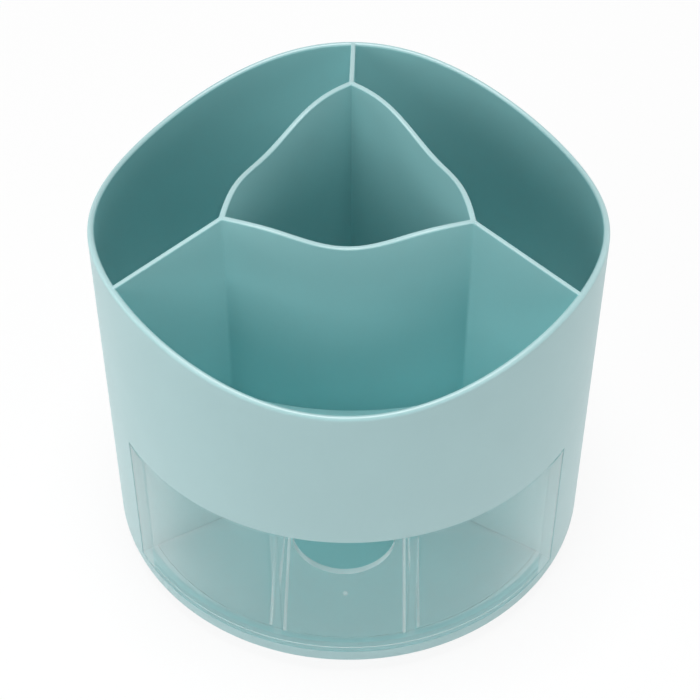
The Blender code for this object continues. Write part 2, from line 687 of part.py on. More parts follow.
def make_drawer(axis, clear):
    """Clear tray with a curved front flush with the container's outer face."""
    corner_x, corner_y = drawer_back_corner(DRAWER_SIDE_OFFSET, drawer_back())
    outline = front_arc(OUTER_RADIUS, DRAWER_SIDE_OFFSET, DRAWER_FRONT_STEPS)
    outline += [(corner_x, corner_y), (-corner_x, corner_y)]
    mesh = prism_mesh("drawer", outline, DRAWER_BOTTOM, DRAWER_TOP)
    drawer = place("drawer", mesh, axis, clear)
    round_edges(drawer, DRAWER_CORNER_ROUND)
    inside = (PARTITION_SPACING - PARTITION_WALL) / 2
    outside = (PARTITION_SPACING + PARTITION_WALL) / 2
    for name, left, right in (("left_section", -OUTER_RADIUS, -outside),
                              ("middle_section", -inside, inside),
                              ("right_section", outside, OUTER_RADIUS)):
        combine(drawer, drawer_cavity(name, axis, left, right), "DIFFERENCE")
    notch_back = OVERRUN - math.sqrt((OUTER_RADIUS - DRAWER_WALL) ** 2 - NOTCH_RADIUS ** 2)
    notch = rod_mesh("finger_notch", NOTCH_RADIUS, -OUTER_RADIUS - OVERRUN, notch_back, NOTCH_SEGMENTS)
    lay_along_y(notch, WINDOW_TOP_HEIGHT)
    cut(drawer, "finger_notch", notch)
    settle(drawer)


def make_organizer():
    remove_scene_objects()
    teal = make_material("teal_plastic", TEAL, 0.38)
    clear = make_material("clear_plastic", CLEAR, 0.08, transmission=0.9)
    natural = make_material("natural_plastic", NATURAL, 0.45)
    steel = make_material("steel", STEEL, 0.25, metallic=1.0)
    rubber = make_material("rubber", RUBBER, 0.8)
    stand_axis = make_empty("stand_axis", CONTAINER_HEIGHT)
    cage_axis = make_empty("cage_axis", CONTAINER_HEIGHT)
    container_axis = make_empty("container_axis", CONTAINER_HEIGHT)
    drawer_axis = make_empty("drawer_axis", CONTAINER_HEIGHT)
    make_stand(stand_axis, teal, rubber)
    make_bearing(cage_axis, natural, steel)
    make_outer_wall(container_axis, teal)
    make_rear_floor(container_axis, teal)
    make_dividers(container_axis, teal)
    make_inner_cup(container_axis, teal)
    make_front_floor(container_axis, teal)
    make_bottom_plate(container_axis, teal)
    make_fasteners(container_axis, steel)
    make_drawer(drawer_axis, clear)
    bpy.context.view_layer.update()


make_organizer()
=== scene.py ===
"""Looks of the rotating make-up organizer: fine meshes, materials, light and camera.

Metres, +Z up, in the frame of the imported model. The drawer faces -Y.
"""

import json
import math

import bmesh
import bpy
from mathutils import Matrix, Vector


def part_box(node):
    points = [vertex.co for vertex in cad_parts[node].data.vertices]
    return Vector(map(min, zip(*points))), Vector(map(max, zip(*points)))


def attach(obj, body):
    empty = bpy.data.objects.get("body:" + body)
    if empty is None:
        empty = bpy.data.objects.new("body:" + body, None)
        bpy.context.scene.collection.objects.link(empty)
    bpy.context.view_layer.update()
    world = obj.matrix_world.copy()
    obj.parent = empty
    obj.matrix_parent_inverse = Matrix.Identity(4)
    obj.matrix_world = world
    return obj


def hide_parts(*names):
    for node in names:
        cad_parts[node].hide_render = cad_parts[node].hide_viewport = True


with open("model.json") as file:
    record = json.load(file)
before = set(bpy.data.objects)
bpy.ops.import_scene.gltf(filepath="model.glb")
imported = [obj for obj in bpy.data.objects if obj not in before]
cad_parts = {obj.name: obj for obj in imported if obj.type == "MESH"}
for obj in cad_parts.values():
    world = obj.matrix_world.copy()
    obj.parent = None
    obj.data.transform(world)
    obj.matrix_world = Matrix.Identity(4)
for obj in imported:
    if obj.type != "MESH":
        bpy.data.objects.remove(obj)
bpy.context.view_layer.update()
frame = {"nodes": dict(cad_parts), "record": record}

# Sizes read from the frame. Heights of the container and the drawer count from the container's
# lower edge, which stands LIFT above the desk.
WALL_LOW, WALL_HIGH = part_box("outer_wall")
CUP_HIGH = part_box("inner_cup")[1]
DRAWER_LOW, DRAWER_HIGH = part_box("drawer")
LIFT = WALL_LOW.z
OUTER_RADIUS = WALL_HIGH.x
CUP_TOP = CUP_HIGH.z - LIFT
DRAWER_BOTTOM = DRAWER_LOW.z - LIFT
DRAWER_TOP = DRAWER_HIGH.z - LIFT
DRAWER_BACK = DRAWER_HIGH.y

# The nodes that are one moulding on the real organizer
MOULDING = ["outer_wall", "rear_floor", "front_floor", "inner_cup",
            "divider_back", "divider_left", "divider_right"]

# Container
OUTER_WALL = 0.0018
RIM_PEAK_HEIGHT = 0.1092
RIM_WAVE_DEPTH = 0.0092
RIM_ROUND = 0.00085
RIM_FALL = 0.0013
CUP_CORNER_RADIUS = 0.0362
CUP_SIDE_BOW = 0.0062
CUP_WALL = 0.0015
CUP_RIM_CREST = 0.00125
CUP_RIM_DIP = 0.0041
CUP_RIM_ROUND = 0.0005
DIVIDER_WALL = 0.0013
DIVIDER_DROP = 0.00005
DIVIDER_ROUND = 0.00045
JUNCTION_FILLET = 0.0010
FLOOR_THICKNESS = 0.0018
REAR_FLOOR_HEIGHT = 0.0120
FRONT_FLOOR_HEIGHT = 0.0555
WINDOW_TOP_HEIGHT = 0.0526
WINDOW_REVEAL = 0.0002
LIP_HEIGHT = 0.0041
LEDGE_WIDTH = 0.0028
LEDGE_THICKNESS = 0.0010
FOOT_ROUND = 0.0005
STOP_SPACING = 0.0200
STOP_WIDTH = 0.0050
STOP_DEPTH = 0.0015
STOP_HOOK = 0.0005
STOP_FRONT_GAP = 0.0010
BOSS_RADIUS = 0.0032
BOSS_CIRCLE_RADIUS = 0.0588
BOSS_ROOF = 0.0005
PILOT_RADIUS = 0.00135
SEAT_GAP = 0.0003
SEAM = 0.00006

# Drawer
DRAWER_SIDE_CLEARANCE = 0.0005
DRAWER_WALL = 0.0017
DRAWER_FLOOR = 0.0018
DRAWER_FILLET = 0.0018
DRAWER_FRONT_FILLET = 0.0024
DRAWER_EDGE_ROUND = 0.0004
PARTITION_SPACING = 0.0368
PARTITION_WALL = 0.0018
NOTCH_RADIUS = 0.0132
GATE_MARK_Y = -0.0498
GATE_MARK_RADIUS = 0.0007
GATE_MARK_HEIGHT = 0.0002
# Width of the painted highlight line where the drawer's floor shows on its front
FRONT_LINE_WIDTH = 0.0002

# How far cutters reach past what they cut, and how near points have to be to become one
OVERRUN = 0.0020
WELD = 0.000001

# Counts, powers and angles
WALL_SEGMENTS = 288
CUP_SIDE_STEPS = 48
ROUND_STEPS = 6
WINDOW_STEPS = 96
DRAWER_FRONT_STEPS = 192
FILLET_STEPS = 10
CORNER_STEPS = 6
NOTCH_SEGMENTS = 96
SMALL_SEGMENTS = 32
LOBES = 3
CUP_RIM_POWER = 3.25
BACK_ANGLE = math.radians(90)
LEFT_ANGLE = math.radians(210)
FRONT_ANGLE = math.radians(270)
RIGHT_ANGLE = math.radians(330)
SCREW_ANGLES = [math.radians(angle) for angle in (-15, 25, 65, 115, 155, 195)]
SHARP_ANGLE = math.radians(32)

# Sizes that follow from those above
INNER_RADIUS = OUTER_RADIUS - OUTER_WALL
MIDDLE_RADIUS = OUTER_RADIUS - OUTER_WALL / 2
WALL_ROOT = LIP_HEIGHT - LEDGE_THICKNESS / 2
PLATE_TOP = LIP_HEIGHT + SEAT_GAP
REAR_FLOOR_MIDDLE = REAR_FLOOR_HEIGHT - FLOOR_THICKNESS / 2
DRAWER_OFFSET = DIVIDER_WALL / 2 + DRAWER_SIDE_CLEARANCE
DRAWER_INNER_RADIUS = OUTER_RADIUS - DRAWER_WALL
DRAWER_FLOOR_TOP = DRAWER_BOTTOM + DRAWER_FLOOR

# Camera, from the photograph
FOCAL_LENGTH_MM = 97.644
SENSOR_MM = 36.0
CAMERA_DISTANCE = 0.53327
CAMERA_ELEVATION = math.radians(46.290)
CAMERA_AZIMUTH = math.radians(1.111)
CAMERA_TARGET = Vector((0.0, 0.0, 0.05822))
CAMERA_SHIFT_X = 0.0017
CAMERA_CLIP_START = 0.01

# Softboxes: name, angle from +X and elevation in degrees, distance, width, height and watts
SOFTBOXES = [("left_softbox", 175, 16, 1.1, 0.70, 0.65, 3.1),
             ("right_softbox", 5, 16, 1.1, 0.70, 0.65, 1.4),
             ("back_right_softbox", 45, 16, 1.1, 0.70, 0.65, 0.9),
             ("front_left_softbox", 225, 31, 1.1, 0.70, 0.60, 4.2),
             ("front_right_softbox", 315, 20, 1.1, 0.70, 0.60, 2.7),
             ("top_softbox", 230, 89, 1.3, 0.50, 0.40, 12.6)]

# Floor: half of its width, its tone, its roughness, and how much of it shows as plain white
FLOOR_HALF = 3.0
FLOOR_TONE = (0.92, 0.92, 0.92)
FLOOR_ROUGHNESS = 0.9
FLOOR_WHITE_SHARE = 0.9
WHITE = (1, 1, 1)

# Blue-green plastic: colours inside and outside, gloss, and the heights and upward tilts over
# which the inside's colour passes to the outside's at the rims. The outside's colour is painted
# sheen: greyer and less saturated, for the white gloss on the outer wall and the high rims
TEAL = (0.33, 0.63, 0.64)
TEAL_TONES = ((0.316, 0.619, 0.631), (0.326, 0.635, 0.647))
# Painted sheen: the outside's colours, greyer than the plastic's own
OUTSIDE_SHEEN_TONES = ((0.378, 0.580, 0.593), (0.390, 0.596, 0.609))
TONE_NOISE = (35, 3)
TEAL_IOR = 1.59
TEAL_GLOSS = 0.55
RIM_HEIGHTS = (0.080, 0.090)
RIM_TILTS = (0.2, 0.8)

# Finishes: plain roughness, the range it is spread over, scale and detail of the noise that
# spreads it, and scale, detail and depth of a fine grain, or None where the surface has none
TEAL_FINISH = (0.38, (0.37, 0.395), (220, 4), (2600, 2, 0.000012))
CLEAR_FINISH = (0.05, (0.03, 0.08), (60, 3), None)
NATURAL_FINISH = (0.45, (0.38, 0.52), (150, 3), (1800, 2, 0.00001))
STEEL_FINISH = (0.25, (0.16, 0.30), (500, 3), None)
RUBBER_FINISH = (0.75, (0.65, 0.85), (300, 3), (2200, 3, 0.00004))
NOISE_RANGE = (0.3, 0.7)

# Looks of the hidden pieces: slot, name, colour, share of metal and finish
HIDDEN_LOOKS = [("natural_plastic", "natural_moulding", (0.80, 0.79, 0.74), 0.0, NATURAL_FINISH),
                ("steel", "plated_steel", (0.62, 0.62, 0.64), 1.0, STEEL_FINISH),
                ("rubber", "soft_rubber", (0.03, 0.033, 0.033), 0.0, RUBBER_FINISH)]

# Looks of the clear drawer: name, colour, how much it covers seen face-on and edge-on, and
# its share of mirror. Besides the plain and fillet looks they are painted: highlights on the
# edges and before the partitions, light before the posts, and shade along the foot
CLEAR_LOOKS = [("clear_styrene", (0.97, 0.99, 0.99), 0.055, 1.0, 0.8),
               ("clear_styrene_edge_highlights", (0.97, 0.99, 0.99), 0.65, 1.0, 0.3),
               ("clear_styrene_partition_highlights", (0.97, 0.99, 0.99), 0.15, 0.20, 0.8),
               ("clear_styrene_foot_shade", (0.48, 0.50, 0.51), 0.25, 0.30, 0.8),
               ("clear_styrene_post_light", (0.80, 0.82, 0.82), 0.35, 0.60, 0.8),
               ("clear_styrene_fillets", (0.97, 0.99, 0.99), 0.04, 0.06, 0.5)]
PLAIN_LOOK, EDGE_HIGHLIGHT_LOOK, PARTITION_HIGHLIGHT_LOOK, FOOT_SHADE_LOOK, POST_LIGHT_LOOK, FILLET_LOOK = range(6)
FACING_POWER = 5

# Where the drawer's looks change: the width of the posts beside the dividers, the tilt under
# which a face counts as upright, and the tilts of the painted highlight lines at the partitions'
# feet
POST_WIDTH = 0.0084
FLAT_TILT = 0.1
FOOT_LINE_TILTS = (0.70, 0.985)


def on_circle(radius, angle):
    return (radius * math.cos(angle), radius * math.sin(angle))


def quarter_turns(steps):
    return [math.pi / 2 * step / steps for step in range(steps + 1)]


def add_object(name, mesh):
    piece = bpy.data.objects.new(name, mesh)
    bpy.context.scene.collection.objects.link(piece)
    return piece


def bridge(shape, first, second):
    """Put a band of faces between two closed rings that have equally many points."""
    for step in range(len(first)):
        after = (step + 1) % len(first)
        shape.faces.new([first[step], first[after], second[after], second[step]])


def finish_mesh(name, shape):
    bmesh.ops.remove_doubles(shape, verts=shape.verts, dist=WELD)
    bmesh.ops.recalc_face_normals(shape, faces=shape.faces)
    mesh = bpy.data.meshes.new(name)
    shape.to_mesh(mesh)
    shape.free()
    return mesh


def stack_mesh(name, shape, rings):
    """A solid through a stack of rings, closed at its first and its last one."""
    shape.faces.new(rings[0])
    shape.faces.new(rings[-1])
    for first, second in zip(rings, rings[1:]):
        bridge(shape, first, second)
    return finish_mesh(name, shape)


def loft_mesh(name, levels):
    """A solid through a stack of level outlines of (x, y) points, each given with its height."""
    shape = bmesh.new()
    rings = [[shape.verts.new((x, y, height)) for x, y in outline] for outline, height in levels]
    return stack_mesh(name, shape, rings)


def prism_mesh(name, outline, bottom, top):
    return loft_mesh(name, [(outline, bottom), (outline, top)])


def rod_mesh(name, radius, bottom, top, segments=SMALL_SEGMENTS):
    outline = [on_circle(radius, math.tau * (step + 1 / 2) / segments) for step in range(segments)]
    return prism_mesh(name, outline, bottom, top)


def rounded_profile(thickness, rounding, fall=None, bottom_rounding=0):
    """Section of a wall with a rounded top, as points (share across the wall, rise, drop).

    A point lies its rise over the bottom, or its drop under the top where the rise is None.
    fall is how far down the rounding reaches on the far side, if that isn't as far as it is wide.
    bottom_rounding rounds the far side's lower edge.
    """
    stretch = 1 if fall is None else fall / rounding
    near = [(rounding * (1 - math.cos(turn)) / thickness, None, rounding * (1 - math.sin(turn)))
            for turn in quarter_turns(ROUND_STEPS)]
    far = [(1 - share, rise, drop * stretch) for share, rise, drop in reversed(near)]
    foot = [(1, 0, None)]
    if bottom_rounding > 0:
        foot = [(1 - bottom_rounding * (1 - math.sin(turn)) / thickness,
                 bottom_rounding * (1 - math.cos(turn)), None)
                for turn in reversed(quarter_turns(ROUND_STEPS))]
    return [(0, 0, None)] + near + far + foot


def profile_height(rise, drop, bottom, top):
    return top - drop if rise is None else bottom + rise


def wall_mesh(name, inner, outer, bottom, tops, profile):
    """A closed wall between two loops, with a rounded upper edge that follows tops."""
    shape = bmesh.new()
    rows = []
    for share, rise, drop in profile:
        row = []
        for near, far, top in zip(inner, outer, tops):
            x = near[0] + (far[0] - near[0]) * share
            y = near[1] + (far[1] - near[1]) * share
            row.append(shape.verts.new((x, y, profile_height(rise, drop, bottom, top))))
        rows.append(row)
    for first, second in zip(rows, rows[1:] + rows[:1]):
        bridge(shape, first, second)
    return finish_mesh(name, shape)


def bar_mesh(name, stations, bottom, rounding):
    """An upright straight wall through stations (place, top, thickness), rounded on top."""
    near, far = Vector(stations[0][0]), Vector(stations[-1][0])
    way = (far - near).normalized()
    side = Vector((-way.y, way.x))
    shape = bmesh.new()
    rings = []
    for place, top, thickness in stations:
        ring = []
        for share, rise, drop in rounded_profile(thickness, rounding):
            x, y = Vector(place) + side * thickness * (share - 1 / 2)
            ring.append(shape.verts.new((x, y, profile_height(rise, drop, bottom, top))))
        rings.append(ring)
    return stack_mesh(name, shape, rings)


def boolean(piece, operation, meshes):
    """Join these meshes to the piece, or cut them from it, all at once."""
    group = bpy.data.collections.new(piece.name + "_" + operation.lower())
    tools = []
    for mesh in meshes:
        tool = bpy.data.objects.new(mesh.name, mesh)
        group.objects.link(tool)
        tools.append(tool)
    modifier = piece.modifiers.new(operation.lower(), "BOOLEAN")
    modifier.operation = operation
    modifier.operand_type = "COLLECTION"
    modifier.collection = group
    modifier.solver = "EXACT"
    bake(piece)
    for tool in tools:
        bpy.data.objects.remove(tool)
    bpy.data.collections.remove(group)


def bake(piece):
    """Apply the piece's modifiers to its mesh."""
    bpy.context.view_layer.update()
    graph = bpy.context.evaluated_depsgraph_get()
    mesh = bpy.data.meshes.new_from_object(piece.evaluated_get(graph))
    mesh.name = piece.name
    piece.modifiers.clear()
    piece.data = mesh


def finish_piece(piece, material, nodes, body):
    """Shade a piece made in container heights, lift it to its place and let it stand for nodes."""
    piece.data.shade_smooth()
    piece.data.set_sharp_from_angle(angle=SHARP_ANGLE)
    piece.data.materials.clear()
    piece.data.materials.append(material)
    piece.location.z = LIFT
    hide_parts(*nodes)
    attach(piece, body)


def cup_arc_radius():
    """Radius of the middle of each bowed side of the cup."""
    chord = 2 * CUP_CORNER_RADIUS * math.sin(math.pi / LOBES)
    return (chord * chord / 4 + CUP_SIDE_BOW * CUP_SIDE_BOW) / (2 * CUP_SIDE_BOW)


def cup_arc_centre():
    """How far behind the middle the centre of each bowed side lies."""
    return cup_arc_radius() - CUP_CORNER_RADIUS * math.cos(math.pi / LOBES) - CUP_SIDE_BOW


def cup_reach(offset, aside):
    """Distance of the cup's sides from the axis, along a line aside of a divider's middle."""
    radius = cup_arc_radius() + offset
    back = cup_arc_centre()
    across = back * math.sin(math.pi / LOBES) + aside
    return math.sqrt(radius * radius - across * across) - back * math.cos(math.pi / LOBES)


def cup_corner_slope():
    """Angle between a divider and the cup's side at the corner where they meet."""
    across = cup_arc_centre() * math.sin(math.pi / LOBES)
    return math.pi / 2 - math.asin(across / cup_arc_radius())


def cup_side(side_angle, offset):
    """Points (x, y, share of the way) of one bowed side, from one corner to the next."""
    radius = cup_arc_radius() + offset
    centre_x, centre_y = on_circle(-cup_arc_centre(), side_angle)
    half = math.asin(cup_reach(offset, 0) * math.sin(math.pi / LOBES) / radius)
    points = []
    for step in range(CUP_SIDE_STEPS + 1):
        share = step / CUP_SIDE_STEPS
        x, y = on_circle(radius, side_angle + half * (2 * share - 1))
        points.append((x + centre_x, y + centre_y, share))
    return points


def cup_loop(offset):
    """The points of all the cup's sides, one side after the other."""
    loop = []
    for side in range(LOBES):
        side_angle = BACK_ANGLE + (side + 1 / 2) * math.tau / LOBES
        loop += cup_side(side_angle, offset)[:-1]
    return loop


def cup_rim_wave(share):
    """How far the cup's rim lies over its corners: it rises beside each and dips in mid-side."""
    across = math.sin(math.pi * share)
    crest = CUP_RIM_CREST * across * math.cos(math.pi * share) ** 2
    return crest - CUP_RIM_DIP * across ** CUP_RIM_POWER


def cup_corner_height():
    """Height of the cup's corners, with the highest places of its rim at CUP_TOP."""
    return CUP_TOP - max(cup_rim_wave(step / CUP_SIDE_STEPS) for step in range(CUP_SIDE_STEPS))


def cup_mesh():
    inner = cup_loop(-CUP_WALL / 2)
    outer = cup_loop(CUP_WALL / 2)
    corner_height = cup_corner_height()
    tops = [corner_height + cup_rim_wave(share) for x, y, share in inner]
    return wall_mesh("cup", inner, outer, WALL_ROOT, tops, rounded_profile(CUP_WALL, CUP_RIM_ROUND))


def rim_height(angle):
    """Height of the outer wall's rim: three peaks, one at each divider, and low places between."""
    wave = (1 - math.cos(LOBES * (angle - BACK_ANGLE))) / 2
    return RIM_PEAK_HEIGHT - RIM_WAVE_DEPTH * wave


def outer_wall_mesh():
    """The round outer wall, with the ledge inside its lip that the bottom plate seats against."""
    angles = [math.tau * step / WALL_SEGMENTS for step in range(WALL_SEGMENTS)]
    inner = [on_circle(INNER_RADIUS, angle) for angle in angles]
    outer = [on_circle(OUTER_RADIUS, angle) for angle in angles]
    tops = [rim_height(angle) for angle in angles]
    ledge_share = -(LEDGE_WIDTH + SEAT_GAP - SEAM) / OUTER_WALL
    ledge_bottom = LIP_HEIGHT - LEDGE_THICKNESS
    ledge = [(0, ledge_bottom, None), (ledge_share, ledge_bottom, None),
             (ledge_share, LIP_HEIGHT, None), (0, LIP_HEIGHT, None)]
    profile = rounded_profile(OUTER_WALL, RIM_ROUND, RIM_FALL, FOOT_ROUND)
    return wall_mesh("container", inner, outer, 0, tops, profile[:1] + ledge + profile[1:])


def front_arc(radius, offset):
    """Points on a circle from the left divider to the right one, each end offset from it."""
    half = (RIGHT_ANGLE - LEFT_ANGLE) / 2 - math.asin(offset / radius)
    return [on_circle(radius, FRONT_ANGLE + half * (2 * step / WINDOW_STEPS - 1))
            for step in range(WINDOW_STEPS + 1)]


def front_cup_line():
    """Middle of the cup's front wall, from its right corner to its left one."""
    return [point[:2] for point in reversed(cup_side(FRONT_ANGLE, 0))]


def rear_floor_mesh():
    """Floor of the cup and of the two rear compartments."""
    turn = RIGHT_ANGLE - LEFT_ANGLE - math.tau
    steps = round(WALL_SEGMENTS * -turn / math.tau)
    outline = [on_circle(MIDDLE_RADIUS, LEFT_ANGLE + turn * step / steps)
               for step in range(steps + 1)]
    outline += front_cup_line()
    return prism_mesh("rear_floor", outline, REAR_FLOOR_HEIGHT - FLOOR_THICKNESS, REAR_FLOOR_HEIGHT)


def front_floor_mesh():
    """Floor of the front compartment, over the drawer."""
    outline = front_arc(MIDDLE_RADIUS, 0) + front_cup_line()
    return prism_mesh("front_floor", outline,
                      FRONT_FLOOR_HEIGHT - FLOOR_THICKNESS, FRONT_FLOOR_HEIGHT)


def divider_top(distance):
    """Height of a divider at this distance from the axis, on a straight line from cup to wall."""
    slope = (cup_corner_height() - RIM_PEAK_HEIGHT) / (MIDDLE_RADIUS - CUP_CORNER_RADIUS)
    return RIM_PEAK_HEIGHT - DIVIDER_DROP + slope * (MIDDLE_RADIUS - distance)


def divider_widths():
    """A divider's thickness along its way, with a small fillet where it leaves the cup's corner."""
    half = DIVIDER_WALL / 2
    turn = cup_corner_slope()
    foot = cup_reach(CUP_WALL / 2, half + JUNCTION_FILLET * (1 - math.cos(turn)))
    widths = [(CUP_CORNER_RADIUS, DIVIDER_WALL + 2 * JUNCTION_FILLET * (1 - math.cos(turn)))]
    for step in range(ROUND_STEPS + 1):
        left = turn * (1 - step / ROUND_STEPS)
        distance = foot + JUNCTION_FILLET * (math.sin(turn) - math.sin(left))
        widths.append((distance, DIVIDER_WALL + 2 * JUNCTION_FILLET * (1 - math.cos(left))))
    widths.append((MIDDLE_RADIUS, DIVIDER_WALL))
    return widths


def divider_meshes():
    meshes = []
    for name, angle, bottom in (("back_divider", BACK_ANGLE, REAR_FLOOR_MIDDLE),
                                ("left_divider", LEFT_ANGLE, WALL_ROOT),
                                ("right_divider", RIGHT_ANGLE, WALL_ROOT)):
        stations = [(on_circle(distance, angle), divider_top(distance), thickness)
                    for distance, thickness in divider_widths()]
        meshes.append(bar_mesh(name, stations, bottom, DIVIDER_ROUND))
    return meshes


def stop_meshes():
    """The two hooks that stop the drawer, under the front compartment's floor."""
    reach = STOP_SPACING / 2 + STOP_WIDTH / 2
    front = STOP_FRONT_GAP - math.sqrt(DRAWER_INNER_RADIUS ** 2 - reach * reach)
    back = front + STOP_DEPTH
    meshes = []
    for name, side in (("stop_left", -1), ("stop_right", 1)):
        left = side * STOP_SPACING / 2 - STOP_WIDTH / 2
        right = left + STOP_WIDTH
        meshes.append(prism_mesh(name, [(left, front), (right, front), (right, back), (left, back)],
                                 DRAWER_TOP - STOP_HOOK, FRONT_FLOOR_HEIGHT - FLOOR_THICKNESS / 2))
    return meshes


def screw_rods(name, radius, bottom, top):
    """One upright rod at each plate screw."""
    meshes = []
    for number, angle in enumerate(SCREW_ANGLES, 1):
        rod = rod_mesh("%s_%d" % (name, number), radius, bottom, top)
        x, y = on_circle(BOSS_CIRCLE_RADIUS, angle)
        rod.transform(Matrix.Translation((x, y, 0)))
        meshes.append(rod)
    return meshes


def make_container(material):
    """The opaque moulding: wall, floors, cup, dividers, drawer stops and bosses in one piece."""
    body = add_object("container", outer_wall_mesh())
    window = front_arc(OUTER_RADIUS + OVERRUN, DIVIDER_WALL / 2 + WINDOW_REVEAL) + [(0, 0)]
    boolean(body, "DIFFERENCE", [prism_mesh("window", window, LIP_HEIGHT, WINDOW_TOP_HEIGHT)])
    bosses = screw_rods("boss", BOSS_RADIUS, PLATE_TOP + SEAM, REAR_FLOOR_MIDDLE)
    boolean(body, "UNION", [rear_floor_mesh(), front_floor_mesh(), cup_mesh()]
            + divider_meshes() + stop_meshes() + bosses)
    plate_radius = INNER_RADIUS - LEDGE_WIDTH - SEAT_GAP + SEAM / 2
    plate_space = rod_mesh("plate_space", plate_radius, -OVERRUN, PLATE_TOP, WALL_SEGMENTS)
    pilots = screw_rods("pilot", PILOT_RADIUS, WALL_ROOT,
                        REAR_FLOOR_HEIGHT - FLOOR_THICKNESS - BOSS_ROOF)
    boolean(body, "DIFFERENCE", [plate_space] + pilots)
    finish_piece(body, material, MOULDING, "container")


def corner_arc(centre, start, end, radius):
    """Points of a round corner about centre, the short way from one direction to another."""
    first = math.atan2(start[1], start[0])
    turn = (math.atan2(end[1], end[0]) - first + math.pi) % math.tau - math.pi
    points = []
    for step in range(CORNER_STEPS + 1):
        x, y = on_circle(radius, first + turn * step / CORNER_STEPS)
        points.append((centre[0] + x, centre[1] + y))
    return points


def tray_outline(left, right, side_offset, radius, back, inset, rounding, front_inset):
    """Outline of the drawer or of one of its sections, drawn in by inset and round at its corners.

    left and right are the x places of its straight walls, or None for a wall along a divider,
    which then lies side_offset from the divider's middle. radius is that of the front, drawn in
    by front_inset, and back is the y place of the back wall.
    """
    reach = inset + rounding
    to_back = (0, 1)
    fronts = []
    backs = []
    for sign, place in ((-1, left), (1, right)):
        # (across, ahead) points from the wall into the tray. The centres of its corners lie
        # distance that way from the line through the axis that is parallel to the wall.
        if place is None:
            across, ahead = sign * math.sin(RIGHT_ANGLE), -math.cos(RIGHT_ANGLE)
            distance = side_offset + reach
        else:
            across, ahead = -sign, 0
            distance = reach - sign * place
        along = math.sqrt((radius - front_inset - rounding) ** 2 - distance ** 2)
        centre = (across * distance - sign * ahead * along,
                  ahead * distance + sign * across * along)
        fronts.append((centre, (-across, -ahead)))
        y = back - reach
        backs.append((((distance - ahead * y) / across, y), (-across, -ahead)))
    (left_front, left_out), (right_front, right_out) = fronts
    outline = corner_arc(left_front, left_out, left_front, rounding)
    first = math.atan2(left_front[1], left_front[0])
    turn = (math.atan2(right_front[1], right_front[0]) - first) % math.tau
    for step in range(1, DRAWER_FRONT_STEPS):
        outline.append(on_circle(radius - front_inset, first + turn * step / DRAWER_FRONT_STEPS))
    outline += corner_arc(right_front, right_front, right_out, rounding)
    (left_back, left_out), (right_back, right_out) = backs
    outline += corner_arc(right_back, right_out, to_back, rounding)
    outline += corner_arc(left_back, to_back, left_out, rounding)
    return outline


def drawer_outside_mesh():
    """Outside of the drawer, with rounded edges and narrow faces for the painted highlight line
    where its floor's line shows.
    """
    low = []
    high = []
    for turn in quarter_turns(ROUND_STEPS):
        inset = DRAWER_EDGE_ROUND * (1 - math.sin(turn))
        rise = DRAWER_EDGE_ROUND * (1 - math.cos(turn))
        outline = tray_outline(None, None, DRAWER_OFFSET, OUTER_RADIUS, DRAWER_BACK,
                               inset, DRAWER_EDGE_ROUND - inset, inset)
        low.append((outline, DRAWER_BOTTOM + rise))
        high.append((outline, DRAWER_TOP - rise))
    between = [(outline, DRAWER_FLOOR_TOP - FRONT_LINE_WIDTH / 2),
               (outline, DRAWER_FLOOR_TOP + FRONT_LINE_WIDTH / 2),
               (outline, DRAWER_FLOOR_TOP + DRAWER_FRONT_FILLET)]
    return loft_mesh("clear_drawer", low + between + high[::-1])


def section_mesh(name, left, right):
    """Inside of one drawer section, with a round foot, round corners and a flared mouth."""
    walls = (left, right, DRAWER_OFFSET + DRAWER_WALL, DRAWER_INNER_RADIUS,
             DRAWER_BACK - DRAWER_WALL)
    levels = []
    for turn in quarter_turns(FILLET_STEPS):
        rise = DRAWER_FRONT_FILLET * (1 - math.cos(turn))
        lack = max(DRAWER_FILLET - rise, 0)
        inset = DRAWER_FILLET - math.sqrt(DRAWER_FILLET ** 2 - lack ** 2)
        outline = tray_outline(*walls, inset, DRAWER_FILLET - inset,
                               DRAWER_FRONT_FILLET * (1 - math.sin(turn)))
        levels.append((outline, DRAWER_FLOOR_TOP + rise))
    for turn in quarter_turns(ROUND_STEPS):
        flare = DRAWER_EDGE_ROUND * (1 - math.cos(turn))
        outline = tray_outline(*walls, -flare, DRAWER_FILLET + flare, -flare)
        levels.append((outline, DRAWER_TOP - DRAWER_EDGE_ROUND * (1 - math.sin(turn))))
    levels.append((outline, DRAWER_TOP + OVERRUN))
    return loft_mesh(name, levels)


def front_look(x, y, z):
    """The look of a place on the drawer's front, by what lies right behind it, with painted light,
    highlights and shade.
    """
    aside = math.sin(RIGHT_ANGLE) * abs(x) - math.cos(RIGHT_ANGLE) * y
    # Painted light: a pale grey veil on the front before the posts beside the dividers
    if aside < POST_WIDTH:
        return POST_LIGHT_LOOK
    # Painted highlight: a thin bright line where the floor shows on the front
    if abs(z - DRAWER_FLOOR_TOP) < FRONT_LINE_WIDTH / 2:
        return EDGE_HIGHLIGHT_LOOK
    # Painted shade: a grey veil along the foot of the front
    if z < DRAWER_FLOOR_TOP + DRAWER_FRONT_FILLET:
        return FOOT_SHADE_LOOK
    # Painted highlight: lighter bands on the front before the partitions
    if abs(abs(x) - PARTITION_SPACING / 2) < PARTITION_WALL / 2:
        return PARTITION_HIGHLIGHT_LOOK
    return PLAIN_LOOK


